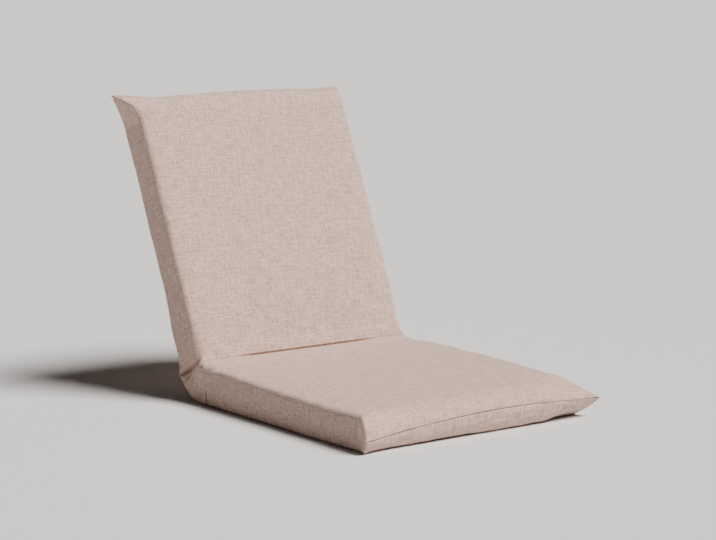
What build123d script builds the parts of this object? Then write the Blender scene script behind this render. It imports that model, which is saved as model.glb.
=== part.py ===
from build123d import *
from dataclasses import dataclass
import math
import os

# A folding floor chair: a seat pad and a back pad in one sleeve cover, over two bent tube
# frames that are joined by a ratchet hinge at each side. Millimetres. Z is up and the
# sitter faces -Y. The origin lies on the floor under the middle of the seat.

# ---- the two pads, over the cover
pad_width = 420.0
seat_length = 480.0  # hinge axis to the front end seam
back_length = 475.0  # hinge axis to the top end seam
seat_thickness = 70.0  # at the hinge
seat_taper = 11.0  # how much thinner it is at the front
back_thickness = 60.0
seat_crown = 5.0
back_crown = 4.0
side_draw_in = 3.0  # each side, half way along
edge_radius = 12.0
end_round = 42.0  # length over which a pad rounds down to its end seam
ear_reach = 20.0  # how far an end seam's corner stands out past the side
ear_run = 75.0  # length over which the side flares out to that corner
seam_half = 1.0  # half the thickness of an end seam
seat_seam_height = 33.0
back_seam_height = 31.0
crease_depth = 3.0  # hinge axis below the sitting face
crease_run = 80.0  # length over which the sitting face dips to the crease
cover_gap = 8.0  # hinge axis to the end of each pad's own cover
stand_flat = 0.5  # depth of the flat cut on which the seat stands
back_angle = 66.0  # back above the floor, as it stands in use

# ---- the layers of a pad
cover_wall = 1.0
least_crown = 0.2  # arch of a face that reads as flat
wadding_wall = 3.0
layer_gap = 0.3
filling_gap = 14.0  # hinge axis to the end of the foam and wadding
layer_seat = 0.2  # between the foam slabs and the webbing

# ---- the tube frames
tube_diameter = 16.0
tube_wall = 1.2
tube_bend = 50.0
seat_tube_height = 26.0  # tube centre above the pad's under face
back_tube_height = 26.0
frame_to_seam = 48.0  # end bar centre to the end seam
hinge_inset = 32.0  # hinge plates in from the pad's sides
blade_start = 38.0  # flattened tube end, from the hinge axis
blade_end = 92.0
blade_blend = 26.0
cross_bar_place = 140.0
strap_width = 44.0
strap_wall = 1.4
strap_clearance = 0.2
strap_first = 180.0
strap_pitch = 56.0
strap_count = 4

# ---- the ratchet hinges
ratchet_wall = 4.0
cheek_wall = 2.5
side_clearance = 0.3
eye_radius = 5.5
neck_radius = 8.0
neck_drop = 16.0  # where a plate widens out below its eye
pivot_radius = 2.5
running_clearance = 0.05
rivet_radius = 2.5
rivet_head_radius = 5.0
rivet_head_height = 2.2
rivet_places = (52.0, 78.0)
lug_radius = 10.0
tooth_radius = 32.0
tooth_depth = 2.2
rest_tooth = 10  # teeth that pass the pawl from flat to the rest position
tooth_count = 14
nose_angle = -84.0  # where the pawl's nose meets the teeth, degrees from +Y towards +Z
pawl_place = 26.0
pawl_drop = 38.0
pawl_boss = 6.5
pawl_pin_radius = 2.5
pawl_lift = 4.2  # degrees from locked to clear of the tooth crests
nose_clearance = 0.35
spring_wall = 0.8
spring_rise = 1.2  # the free end above the held end
spring_gap = 2.5  # between the pawl's boss and the spring
pocket_clearance = 2.0  # between the filling and the rivet heads

# ---- the zip under the hinge end of the seat
zip_rise = 7.0  # the under face beside the hinge, above the floor
zip_flat_end = 34.0
zip_rise_end = 50.0
zip_place = 22.0
zip_slot = 20.0
zip_side_height = 28.0  # how far the zip turns up each side
tape_wall = 0.8
tape_clearance = 0.15
coil_width = 4.4
coil_height = 1.4
coil_neck_width = 2.6
coil_neck_height = 0.8
coil_inset = 22.0  # the coil's ends in from the pad's sides
slider_length = 9.0
slider_width = 8.0
slider_clearance = 0.2
slider_wall = 0.8
stop_half = 1.0  # half the length of the stop at each end of the coil
lug_half = 1.5  # half the length of the slider's lugs
tab_length = 20.0
tab_width = 5.0
tab_wall = 0.8
tab_pin_radius = 0.5
tab_eye_wall = 0.5

# ---- the cover across the hinge
tuck_depth = 5.0  # how far the side tucks draw in beside the hinge
crease_stand = 7.0  # crease cover in front of the hinge axis
hinge_bulge = ((0.25, 65.5), (0.5, 67.5), (0.75, 67.5))  # (share of the turn, outer reach)
back_bulge = 8.0  # how far the back's rear face swells beside the hinge

# ---- places worked out from these
half_width = pad_width / 2
tooth_pitch = back_angle / rest_tooth
hinge_offset = half_width - hinge_inset
hinge_y = seat_length / 2
hinge_z = seat_thickness - crease_depth
tube_radius = tube_diameter / 2
blade_wall = ratchet_wall + 2 * side_clearance
blade_height = math.pi * tube_diameter / 2 - blade_wall * (math.pi / 2 - 1)
back_tube_offset = hinge_offset - ratchet_wall / 2 - blade_wall / 2
wadding_inset = cover_wall + layer_gap
foam_inset = wadding_inset + wadding_wall + layer_gap
seat_lug_drop = seat_tube_height - hinge_z
back_lug_drop = back_tube_height - back_thickness + crease_depth
strap_reach = tube_radius + strap_clearance + strap_wall
plate_half = blade_wall / 2 + cheek_wall
pocket_half = plate_half + rivet_head_height + pocket_clearance
lean = math.radians(back_angle)
hinge_axis = Vector(0, hinge_y, hinge_z)
back_way = Vector(0, math.cos(lean), math.sin(lean))
back_face = Vector(0, -math.sin(lean), math.cos(lean))

os.makedirs("parts", exist_ok=True)


def save(builder, name):
    builder.part.label = name
    export_step(builder.part, f"parts/{name}.step")


@dataclass
class Pad:
    base: Plane  # at the hinge: y from the under face to the sitting face, z along the pad
    length: float
    thickness: float
    crown: float
    seam_height: float
    rise: float  # how far the under face lifts beside the hinge
    taper: float  # how much thinner the pad is at its end seam
    tube_height: float

    def half_width_at(self, place):
        flare = max(0.0, (place - self.length + ear_run) / ear_run)
        waist = side_draw_in * math.sin(math.pi * min(place / self.length, 1.0))
        return half_width - waist + ear_reach * flare**1.5

    def low_at(self, place):
        share = (zip_rise_end - place) / (zip_rise_end - zip_flat_end)
        return self.rise * min(max(share, 0.0), 1.0)

    def high_at(self, place):
        dip = crease_depth * max(0.0, 1 - place / crease_run)
        return self.thickness - dip - self.taper * place / self.length

    def crown_at(self, place):
        return self.crown * math.sin(math.pi * min(place / self.length, 1.0)) ** 2

    def layer(self, height):
        """A plane in the pad at this height, with x across and y away from the hinge."""
        origin = self.base.origin + self.base.y_dir * height
        return Plane(origin=origin, x_dir=self.base.x_dir, z_dir=-self.base.y_dir)

    def side(self, across):
        """An upright plane through the hinge axis, x along the pad and y to its sitting face."""
        normal = self.base.z_dir.cross(self.base.y_dir)
        return Plane(
            origin=hinge_axis + Vector(across, 0, 0), x_dir=self.base.z_dir, z_dir=normal
        )


seat = Pad(
    Plane(origin=(0, hinge_y, 0), x_dir=(1, 0, 0), z_dir=(0, -1, 0)),
    seat_length,
    seat_thickness,
    seat_crown,
    seat_seam_height,
    zip_rise,
    seat_taper,
    seat_tube_height,
)
back = Pad(
    Plane(
        origin=hinge_axis - back_face * (back_thickness - crease_depth),
        x_dir=(-1, 0, 0),
        z_dir=back_way,
    ),
    back_length,
    back_thickness,
    back_crown,
    back_seam_height,
    -back_bulge,
    0.0,
    back_tube_height,
)


def section(plane, half, low, high, crown, radius):
    """A pad's cross-section: flat below, upright sides, rounded edges, arched sitting face."""
    with BuildSketch(plane) as profile:
        with BuildLine():
            Line((-half + radius, low), (half - radius, low))
            CenterArc((half - radius, low + radius), radius, -90, 90)
            Line((half, low + radius), (half, high - radius))
            CenterArc((half - radius, high - radius), radius, 0, 90)
            ThreePointArc((half - radius, high), (0, high + crown), (-half + radius, high))
            CenterArc((-half + radius, high - radius), radius, 90, 90)
            Line((-half, high - radius), (-half, low + radius))
            CenterArc((-half + radius, low + radius), radius, 180, 90)
        make_face()
    return profile.sketch


def pad_form(pad, inset, start):
    """The pad's soft form drawn in by inset, from start to its end seam."""
    end = pad.length - 2 * inset
    shares = (1.0, 0.7, 0.42, 0.2, 0.07, 0.0)  # of the rounded end, counted from the seam
    places = [start, zip_flat_end, zip_rise_end, crease_run + zip_rise_end / 2]
    places += [pad.length * 0.4, pad.length * 0.6, end - ear_run]
    places += [end - end_round * share for share in shares]
    profiles = []
    for place in places:
        share = min((end - place) / end_round, 1.0)
        swell = math.sqrt(1 - (1 - share) ** 2)
        tip = seam_half / (1 + inset)
        seam = pad.seam_height
        low = seam - max(swell * (seam - pad.low_at(place) - inset + stand_flat), tip)
        high = seam + max(swell * (pad.high_at(place) - inset - seam), tip)
        crown = max(pad.crown_at(place) * swell, least_crown)
        radius = min(edge_radius - inset, 0.42 * (high - low))
        half = pad.half_width_at(place) - inset
        profiles.append(section(pad.base.offset(place), half, low, high, crown, radius))
    with BuildPart() as form:
        loft(sections=profiles, ruled=True)
        # the face that the pad lies on is cut flat, but not where it swells beside the hinge
        flat_start = zip_rise_end if pad.rise < 0 else 0.0
        with BuildSketch(pad.layer(inset)):
            with Locations((0, flat_start + pad.length)):
                Rectangle(2 * pad_width, 2 * pad.length)
        extrude(amount=2 * stand_flat, mode=Mode.SUBTRACT)
    return form.part


def pad_shell(pad, inset, wall, start):
    """A closed layer round the pad, open at the hinge."""
    outside = pad_form(pad, inset, start)
    inside = pad_form(pad, inset + wall, start)
    with BuildPart() as shell:
        add(outside)
        add(inside, mode=Mode.SUBTRACT)
    return shell.part


def hinge_pocket(pad, far, top):
    """Room in the filling for the hinge plates at both sides."""
    with BuildPart() as room:
        with BuildSketch(pad.layer(0)):
            with Locations((-hinge_offset, far / 2), (hinge_offset, far / 2)):
                Rectangle(2 * (pocket_half + blade_wall), far)
        extrude(amount=-top)
    return room.part


def zip_pocket():
    """Room in the seat's filling over the zip."""
    with BuildPart() as room:
        with BuildSketch(seat.layer(0)):
            with Locations((0, zip_flat_end / 2)):
                Rectangle(pad_width, zip_flat_end + 2)
        extrude(amount=-(zip_rise + 3 * cover_wall))
    return room.part


# ---- covers, wadding and foam
with BuildPart() as seat_cover:
    add(pad_shell(seat, 0, cover_wall, cover_gap))
    # the slot that the zip fills, across the underside and up both sides
    with BuildSketch(seat.layer(0)):
        with Locations((0, zip_place)):
            Rectangle(2 * pad_width, zip_slot)
    extrude(amount=-zip_side_height, mode=Mode.SUBTRACT)
save(seat_cover, "seat_cover")

with BuildPart() as back_cover:
    add(pad_shell(back, 0, cover_wall, cover_gap))
save(back_cover, "back_cover")

with BuildPart() as seat_wadding:
    add(pad_shell(seat, wadding_inset, wadding_wall, filling_gap))
    add(hinge_pocket(seat, crease_run / 2, seat_thickness + crease_depth), mode=Mode.SUBTRACT)
    add(zip_pocket(), mode=Mode.SUBTRACT)
save(seat_wadding, "seat_wadding")

with BuildPart() as back_wadding:
    add(pad_shell(back, wadding_inset, wadding_wall, filling_gap))
    add(hinge_pocket(back, crease_run / 2, back_thickness + crease_depth), mode=Mode.SUBTRACT)
save(back_wadding, "back_wadding")


def frame_corners(pad, across):
    """The U of a frame's tube, from one flattened end round the end bar to the other."""
    start = blade_end + blade_blend
    end = pad.length - frame_to_seam
    return [(-across, start), (-across, end), (across, end), (across, start)]


def face_foam(pad):
    """The foam slab between the webbing and the sitting face."""
    parting = pad.tube_height + strap_reach + layer_seat
    with BuildPart() as slab:
        add(pad_form(pad, foam_inset, filling_gap))
        split(bisect_by=pad.layer(parting), keep=Keep.BOTTOM)
        add(hinge_pocket(pad, blade_start, pad.thickness), mode=Mode.SUBTRACT)
        far = blade_end + blade_blend
        plate_top = pad.thickness - crease_depth - neck_drop
        room_top = max(parting + strap_reach, plate_top)
        add(hinge_pocket(pad, far, room_top), mode=Mode.SUBTRACT)
    return slab


def frame_foam(pad, across):
    """The foam slab that the tube frame is let into."""
    parting = pad.tube_height + strap_reach + layer_seat
    channel = 2 * (strap_reach + layer_seat)
    with BuildPart() as slab:
        add(pad_form(pad, foam_inset, filling_gap))
        split(bisect_by=pad.layer(pad.tube_height + tube_radius), keep=Keep.TOP)
        add(hinge_pocket(pad, blade_end + blade_blend, parting), mode=Mode.SUBTRACT)
        with BuildSketch(pad.layer(pad.tube_height - channel / 2)):
            with BuildLine():
                FilletPolyline(*frame_corners(pad, across), radius=tube_bend)
            trace(line_width=channel)
            with Locations((0, cross_bar_place)):
                Rectangle(2 * across, channel)
        extrude(amount=-channel, mode=Mode.SUBTRACT)
    return slab


seat_face_foam = face_foam(seat)
save(seat_face_foam, "seat_face_foam")

seat_frame_foam = frame_foam(seat, hinge_offset)
with BuildPart() as seat_frame_foam_cut:
    add(seat_frame_foam.part)
    add(zip_pocket(), mode=Mode.SUBTRACT)
save(seat_frame_foam_cut, "seat_frame_foam")

save(face_foam(back), "back_face_foam")
save(frame_foam(back, back_tube_offset), "back_frame_foam")


# ---- tube frames, with flattened ends for the hinge plates
def tube_run(pad, across, wall):
    """The tube drawn in by wall: its U, and at both ends the blend to a blade of equal girth."""
    round_size = tube_diameter - 2 * wall
    flat_size = max(blade_wall - 3 * wall, 0.5)
    tall_size = blade_height - 3 * wall
    with BuildPart() as tube:
        with BuildLine(pad.layer(pad.tube_height)) as run:
            FilletPolyline(*frame_corners(pad, across), radius=tube_bend)
        with BuildSketch(pad.base.offset(blade_end + blade_blend)):
            with Locations((-across, pad.tube_height)):
                Circle(round_size / 2)
        sweep(path=run.line)
        for side in (-across, across):
            with BuildSketch(pad.base.offset(blade_end + blade_blend)):
                with Locations((side, pad.tube_height)):
                    RectangleRounded(round_size, round_size, round_size * 0.499)
            with BuildSketch(pad.base.offset(blade_end)):
                with Locations((side, pad.tube_height)):
                    RectangleRounded(flat_size, tall_size, flat_size * 0.499)
            loft(ruled=True)
    return tube.part


def tube_frame(pad, across):
    lug_drop = pad.tube_height - pad.thickness + crease_depth
    with BuildPart() as frame:
        add(tube_run(pad, across, 0.0))
        add(tube_run(pad, across, tube_wall), mode=Mode.SUBTRACT)
        with BuildSketch(pad.base.offset(blade_start)):
            with Locations((-across, pad.tube_height), (across, pad.tube_height)):
                RectangleRounded(blade_wall, blade_height, blade_wall * 0.499)
        extrude(amount=blade_end - blade_start)
        for side in (-across, across):
            with BuildSketch(pad.side(side)):
                with Locations(*[(place, lug_drop) for place in rivet_places]):
                    Circle(rivet_radius)
            extrude(amount=3 * plate_half, both=True, mode=Mode.SUBTRACT)
    return frame


def cross_bar(pad, across):
    """A straight tube between the legs, its ends coped to fit them."""
    end = pad.base.offset(cross_bar_place)
    plane = Plane(origin=end.origin + end.y_dir * pad.tube_height, x_dir=end.y_dir, z_dir=(1, 0, 0))
    with BuildPart() as bar:
        with BuildSketch(plane):
            Circle(tube_radius)
            Circle(tube_radius - tube_wall, mode=Mode.SUBTRACT)
        extrude(amount=across, both=True)
        with BuildSketch(end):
            with Locations((-across, pad.tube_height), (across, pad.tube_height)):
                Circle(tube_radius + running_clearance)
        extrude(amount=tube_diameter, both=True, mode=Mode.SUBTRACT)
    return bar


def webbing(pad, across):
    """Elastic straps over the legs, each with a sewn loop round either leg."""
    with BuildPart() as straps:
        for number in range(strap_count):
            place = strap_first + number * strap_pitch - strap_width / 2
            with BuildSketch(pad.base.offset(place)):
                with Locations((0, pad.tube_height + strap_reach - strap_wall / 2)):
                    Rectangle(2 * across, strap_wall)
                with Locations((-across, pad.tube_height), (across, pad.tube_height)):
                    Circle(strap_reach)
                    Circle(strap_reach - strap_wall, mode=Mode.SUBTRACT)
            extrude(amount=strap_width)
    return straps


for pad, across, name in ((seat, hinge_offset, "seat"), (back, back_tube_offset, "back")):
    save(tube_frame(pad, across), f"{name}_tube_frame")
    save(cross_bar(pad, across), f"{name}_cross_bar")
    save(webbing(pad, across), f"{name}_webbing")


# ---- ratchet hinges
def polar(radius, degrees):
    angle = math.radians(degrees)
    return (radius * math.cos(angle), radius * math.sin(angle))


def cheek(centre):
    """A seat-side plate: from the riveted tube end to the pivot, past pawl and teeth."""
    nose = polar(tooth_radius + neck_radius / 2, nose_angle)
    with BuildPart() as plate:
        with BuildSketch(centre):
            with Locations((0, -neck_drop)):
                Circle(neck_radius)
            with Locations((pawl_place, -pawl_drop), (-nose[0], nose[1])):
                Circle(neck_radius - 1)
            with Locations(*[(place, seat_lug_drop) for place in rivet_places]):
                Circle(lug_radius)
            make_hull()
            Circle(eye_radius)
            with Locations((0, -neck_drop / 2)):
                Rectangle(2 * eye_radius, neck_drop)
            Circle(pivot_radius, mode=Mode.SUBTRACT)
            with Locations((pawl_place, -pawl_drop)):
                Circle(pawl_pin_radius, mode=Mode.SUBTRACT)
            with Locations(*[(place, seat_lug_drop) for place in rivet_places]):
                Circle(rivet_radius, mode=Mode.SUBTRACT)
        extrude(amount=cheek_wall / 2, both=True)
    return plate


def ratchet_arm(centre):
    """The back's toothed plate: a half disc with teeth along its lower edge, and its arm."""
    first = nose_angle - (tooth_count - 0.5) * tooth_pitch
    points = [(0, 0), polar(tooth_radius, first - 1.0)]
    for number in range(tooth_count):
        crest = first + number * tooth_pitch
        points.append(polar(tooth_radius, crest))
        points.append(polar(tooth_radius - tooth_depth, crest + tooth_pitch))
    last = first + tooth_count * tooth_pitch
    points.append(polar(tooth_radius, last))
    with BuildPart() as arm:
        with BuildSketch(centre):
            with BuildLine():
                Polyline(*points)
                CenterArc((0, 0), tooth_radius, last, -lug_radius - last)
                Line(polar(tooth_radius, -lug_radius), (0, 0))
            make_face()
        extrude(amount=ratchet_wall / 2, both=True)
        with BuildSketch(centre):
            with Locations((neck_drop, -neck_drop)):
                Circle(neck_radius)
            with Locations(*[(place, back_lug_drop) for place in rivet_places]):
                Circle(lug_radius)
            make_hull()
            Circle(eye_radius)
        extrude(amount=ratchet_wall / 2, both=True)
        with BuildSketch(centre):
            Circle(pivot_radius + running_clearance)
            with Locations(*[(place, back_lug_drop) for place in rivet_places]):
                Circle(rivet_radius)
        extrude(amount=ratchet_wall, both=True, mode=Mode.SUBTRACT)
    return arm


def pawl(across):
    """The locking pawl, lifted just clear of the tooth crests. Drawn as it locks, about its pin."""
    side = seat.side(across)
    centre = side.origin + side.x_dir * pawl_place - side.y_dir * pawl_drop
    tilted = side.x_dir.rotate(Axis((0, 0, 0), (1, 0, 0)), -pawl_lift)
    plane = Plane(origin=centre, x_dir=tilted, z_dir=side.z_dir)

    def at(radius, degrees):
        y, z = polar(radius, degrees)
        return (-y - pawl_place, z + pawl_drop)

    flank = nose_angle + tooth_pitch / 2 - 0.5
    ramp = nose_angle - tooth_pitch / 2
    with BuildPart() as lock:
        with BuildSketch(plane):
            with BuildLine():
                Polyline(
                    at(tooth_radius - tooth_depth + nose_clearance, flank),
                    at(tooth_radius + pawl_boss, flank),
                    (0, -pawl_boss),
                    (0, pawl_boss),
                    at(tooth_radius + nose_clearance, ramp),
                    close=True,
                )
            make_face()
            Circle(pawl_boss)
            Circle(pawl_pin_radius + running_clearance, mode=Mode.SUBTRACT)
        extrude(amount=ratchet_wall / 2, both=True)
    return lock


def pawl_spring(across):
    """A leaf held between the cheeks, reaching under the pawl."""
    root = -pawl_drop - pawl_boss - spring_gap
    tip = root + spring_rise
    bend = blade_start - neck_radius
    with BuildPart() as leaf:
        with BuildSketch(seat.side(across)):
            with BuildLine():
                Polyline(
                    (blade_start, root),
                    (bend, root),
                    (0, tip),
                    (0, tip + spring_wall),
                    (bend, root + spring_wall),
                    (blade_start, root + spring_wall),
                    close=True,
                )
            make_face()
        extrude(amount=blade_wall / 2, both=True)
    return leaf


def rivets(centre, places, shank, low, high):
    """Riveted pins from low to high across their plates, with a head at both ends."""
    head = shank + rivet_head_radius - rivet_radius
    with BuildPart() as pins:
        for place, drop in places:
            spot = centre.origin + centre.x_dir * place + centre.y_dir * drop
            plane = Plane(origin=spot, x_dir=centre.x_dir, z_dir=(1, 0, 0))
            with BuildSketch(plane.offset(low)):
                Circle(shank)
            extrude(amount=high - low)
            with BuildSketch(plane.offset(low - rivet_head_height), plane.offset(high)):
                Circle(head)
            extrude(amount=rivet_head_height)
    return pins


seat_spots = [(place, seat_lug_drop) for place in rivet_places]
back_spots = [(place, back_lug_drop) for place in rivet_places]
pawl_spot = [(pawl_place, -pawl_drop)]

for side_name, across in (("left", hinge_offset), ("right", -hinge_offset)):
    seat_side = seat.side(across)
    out = math.copysign(1, across)
    near = out * ratchet_wall / 2
    far = -out * (ratchet_wall / 2 + blade_wall)
    cheek_shift = out * (blade_wall + cheek_wall) / 2
    save(cheek(seat.side(across + cheek_shift)), f"{side_name}_outer_cheek")
    save(cheek(seat.side(across - cheek_shift)), f"{side_name}_inner_cheek")
    save(ratchet_arm(back.side(across)), f"{side_name}_ratchet_arm")
    save(pawl(across), f"{side_name}_pawl")
    save(pawl_spring(across), f"{side_name}_pawl_spring")
    pivot = rivets(seat_side, [(0, 0)], pivot_radius, -plate_half, plate_half)
    save(pivot, f"{side_name}_hinge_pivot")
    pin = rivets(seat_side, pawl_spot, pawl_pin_radius, -plate_half, plate_half)
    save(pin, f"{side_name}_pawl_pin")
    seat_pins = rivets(seat_side, seat_spots, rivet_radius, -plate_half, plate_half)
    save(seat_pins, f"{side_name}_seat_rivets")
    back_pins = rivets(back.side(across), back_spots, rivet_radius, min(near, far), max(near, far))
    save(back_pins, f"{side_name}_back_rivets")


# ---- the cover across the hinge, with its tucked sides
def hinge_section(plane, half, low, high, inset):
    radius = min(edge_radius - inset, 0.42 * (high - low - 2 * inset))
    return section(plane, half - inset, low + inset, high - inset, least_crown, radius)


def across_plane(foot, head):
    """A plane across the cover, with y from its outer side to its crease."""
    upward = (head - foot).normalized()
    return Plane(origin=foot, x_dir=(1, 0, 0), z_dir=Vector(1, 0, 0).cross(upward))


def end_section(pad, inset):
    """The cross-section where a pad's own cover ends."""
    foot = pad.base.offset(cover_gap).origin
    plane = across_plane(foot, foot + pad.base.y_dir)
    low, high = pad.low_at(cover_gap), pad.high_at(cover_gap)
    return hinge_section(plane, pad.half_width_at(cover_gap), low, high, inset)


def around_hinge(reach, degrees):
    """A point at this reach from the hinge axis, its angle counted from +Y towards +Z."""
    angle = math.radians(degrees)
    return hinge_axis + Vector(0, reach * math.cos(angle), reach * math.sin(angle))


def hinge_form(inset):
    """From the seat's cover round to the back's, each section from outer side to crease."""
    profiles = [end_section(seat, inset)]
    for share, reach in hinge_bulge:
        foot = around_hinge(reach, share * back_angle - 90)
        head = around_hinge(crease_stand, 180 - share * (180 - back_angle))
        half = half_width - tuck_depth * math.sin(math.pi * share)
        height = (head - foot).length
        profiles.append(hinge_section(across_plane(foot, head), half, 0, height, inset))
    profiles.append(end_section(back, inset))
    with BuildPart() as form:
        loft(sections=profiles, ruled=True)
    return form.part


with BuildPart() as hinge_cover:
    add(hinge_form(0))
    add(hinge_form(cover_wall), mode=Mode.SUBTRACT)
save(hinge_cover, "hinge_cover")

# ---- the zip
zip_half = zip_slot / 2 - tape_clearance
tape_split = coil_neck_width / 2 + tape_clearance
coil_length = pad_width - 2 * coil_inset


def zip_tape(start, end):
    """One woven tape, across the underside and up both sides."""
    half = seat.half_width_at(zip_place)
    plane = seat.base.offset(zip_place + start)
    outline = section(plane, half, zip_rise, seat_thickness, least_crown, edge_radius)
    inner = section(
        plane,
        half - tape_wall,
        zip_rise + tape_wall,
        seat_thickness - tape_wall,
        least_crown,
        edge_radius - tape_wall,
    )
    with BuildPart() as tape:
        extrude(outline, amount=end - start)
        extrude(inner, amount=end - start, mode=Mode.SUBTRACT)
        with BuildSketch(seat.layer(zip_side_height)):
            with Locations((0, zip_place)):
                Rectangle(2 * pad_width, 2 * zip_slot)
        extrude(amount=-seat_thickness, mode=Mode.SUBTRACT)
    return tape


save(zip_tape(tape_split, zip_half), "zip_front_tape")
save(zip_tape(-zip_half, -tape_split), "zip_rear_tape")

coil_plane = Plane(origin=(0, hinge_y - zip_place, zip_rise), x_dir=(0, 1, 0), z_dir=(1, 0, 0))
with BuildPart() as zip_coil:
    with BuildSketch(coil_plane):
        with Locations((0, (tape_wall - coil_neck_height) / 2)):
            Rectangle(coil_neck_width, tape_wall + coil_neck_height)
        with Locations((0, -coil_neck_height - coil_height / 2)):
            Rectangle(coil_width, coil_height)
    extrude(amount=coil_length / 2, both=True)
save(zip_coil, "zip_coil")

slider_top = -tape_clearance
slider_low = -coil_neck_height - coil_height - slider_clearance - slider_wall
tab_eye = tab_pin_radius + running_clearance
tab_axis_drop = slider_low - tab_eye - tab_eye_wall - slider_clearance
stop_place = coil_length / 2 - 2 * stop_half
slider_travel = 2 * (stop_place - 2 * stop_half) - slider_length
print("slider travel", slider_travel)

with BuildPart() as zip_stops:
    for sign in (-1, 1):
        with BuildSketch(coil_plane.offset(sign * stop_place)):
            with Locations((0, -coil_neck_height - coil_height - slider_wall / 2)):
                Rectangle(coil_width, slider_wall)
        extrude(amount=stop_half, both=True)
save(zip_stops, "zip_stops")

slider_middle = -slider_travel / 2
with BuildPart() as zip_slider:
    with BuildSketch(coil_plane.offset(slider_middle)):
        with Locations((0, (slider_top + slider_low) / 2)):
            Rectangle(slider_width, slider_top - slider_low)
        with Locations((0, slider_top / 2)):
            neck = coil_neck_width + 2 * slider_clearance
            Rectangle(neck, 2 * coil_neck_height, mode=Mode.SUBTRACT)
        with Locations((0, -coil_neck_height - coil_height / 2)):
            room = 2 * slider_clearance
            Rectangle(coil_width + room, coil_height + room, mode=Mode.SUBTRACT)
    extrude(amount=slider_length / 2, both=True)
    # two lugs under the slider carry the tab's pin
    for sign in (-1, 1):
        lug = coil_plane.offset(slider_middle)
        with BuildSketch(lug):
            with Locations((sign * (slider_width / 2 - slider_wall / 2), tab_axis_drop)):
                Rectangle(slider_wall, 2 * (slider_low - tab_axis_drop))
        extrude(amount=lug_half, both=True)
    pin_spot = coil_plane.origin + Vector(slider_middle, 0, tab_axis_drop)
    with BuildSketch(Plane(origin=pin_spot, x_dir=(1, 0, 0), z_dir=(0, 1, 0))):
        Circle(tab_pin_radius)
    extrude(amount=slider_width / 2, both=True)
save(zip_slider, "zip_slider")

with BuildPart() as zip_tab:
    pin_plane = Plane(origin=pin_spot, x_dir=(1, 0, 0), z_dir=(0, 1, 0))
    with BuildSketch(pin_plane):
        Circle(tab_eye + tab_eye_wall)
        with Locations((tab_length / 2, 0)):
            Rectangle(tab_length, tab_wall)
        Circle(tab_eye, mode=Mode.SUBTRACT)
    extrude(amount=tab_width / 2, both=True)
save(zip_tab, "zip_pull_tab")
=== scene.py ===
import bpy
import math
import numpy as np
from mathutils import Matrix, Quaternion, Vector


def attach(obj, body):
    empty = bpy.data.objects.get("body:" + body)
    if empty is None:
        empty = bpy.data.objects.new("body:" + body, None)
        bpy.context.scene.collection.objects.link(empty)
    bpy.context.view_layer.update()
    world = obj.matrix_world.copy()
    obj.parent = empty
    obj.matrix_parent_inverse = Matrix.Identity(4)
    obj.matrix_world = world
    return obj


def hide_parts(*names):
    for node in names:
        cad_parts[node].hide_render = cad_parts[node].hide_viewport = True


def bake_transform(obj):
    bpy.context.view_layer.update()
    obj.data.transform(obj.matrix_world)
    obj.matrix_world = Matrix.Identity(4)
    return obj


# Legless floor chair: one sewn sleeve over two padded frames that fold on a line hinge.
# Metres. The floor is z = 0, the sitter faces -Y, +X is the sitter's left.

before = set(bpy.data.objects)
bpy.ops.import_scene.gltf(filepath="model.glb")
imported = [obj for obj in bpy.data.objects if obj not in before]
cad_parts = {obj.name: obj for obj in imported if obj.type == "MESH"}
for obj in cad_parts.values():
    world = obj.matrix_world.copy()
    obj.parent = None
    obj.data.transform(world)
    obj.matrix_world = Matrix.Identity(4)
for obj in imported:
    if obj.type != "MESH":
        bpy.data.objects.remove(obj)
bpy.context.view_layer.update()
scene = bpy.context.scene

hinge = {
    "y": 0.240,
    "z": 0.067,  # height of the axis, just under the seat's top
    "backAngle": 66.0,  # degrees above the floor
    "clear": 0.0115,  # the pads' own rows of cloth begin this far from the axis
}
lean = math.radians(hinge["backAngle"])
axisPoint = np.array([0.0, hinge["y"], hinge["z"]])
backWay = np.array([0.0, math.cos(lean), math.sin(lean)])
backNormal = np.array([0.0, -math.sin(lean), math.cos(lean)])


def smooth(t):
    # 3t^2 - 2t^3 between 0 and 1
    t = np.clip(t, 0.0, 1.0)
    return t * t * (3.0 - 2.0 * t)


def bump(t, centre, width):
    # exp(-((t - centre) / width)^2)
    return np.exp(-(((t - centre) / width) ** 2))


def falling(s, run):
    # 1 - s / run, and 0 beyond run
    return np.clip(1.0 - s / run, 0.0, 1.0)


def waves(seed, count, low, high, *where):
    # sum of count sines with random directions and wavelengths between low and high, about -1 to 1
    rng = np.random.default_rng(seed)
    total = 0.0
    for number in range(count):
        direction = rng.normal(size=len(where))
        direction /= np.linalg.norm(direction)
        wavelength = low * (high / low) ** rng.random()
        phase = rng.random() * 2.0 * math.pi
        travel = sum(part * way for part, way in zip(where, direction))
        total = total + np.sin(2.0 * math.pi * travel / wavelength + phase)
    return total / math.sqrt(count)


def linked(name, data):
    # a new object with this data, in the scene
    obj = bpy.data.objects.new(name, data)
    scene.collection.objects.link(obj)
    return obj


def addUv(obj, across, along):
    # a UV map in metres of cloth, one value pair for each vertex
    mesh = obj.data
    layer = mesh.uv_layers.new(name="cloth")
    index = np.zeros(len(mesh.loops), np.int32)
    mesh.loops.foreach_get("vertex_index", index)
    layer.data.foreach_set("uv", np.stack([across[index], along[index]], -1).astype(np.float32).ravel())


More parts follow.
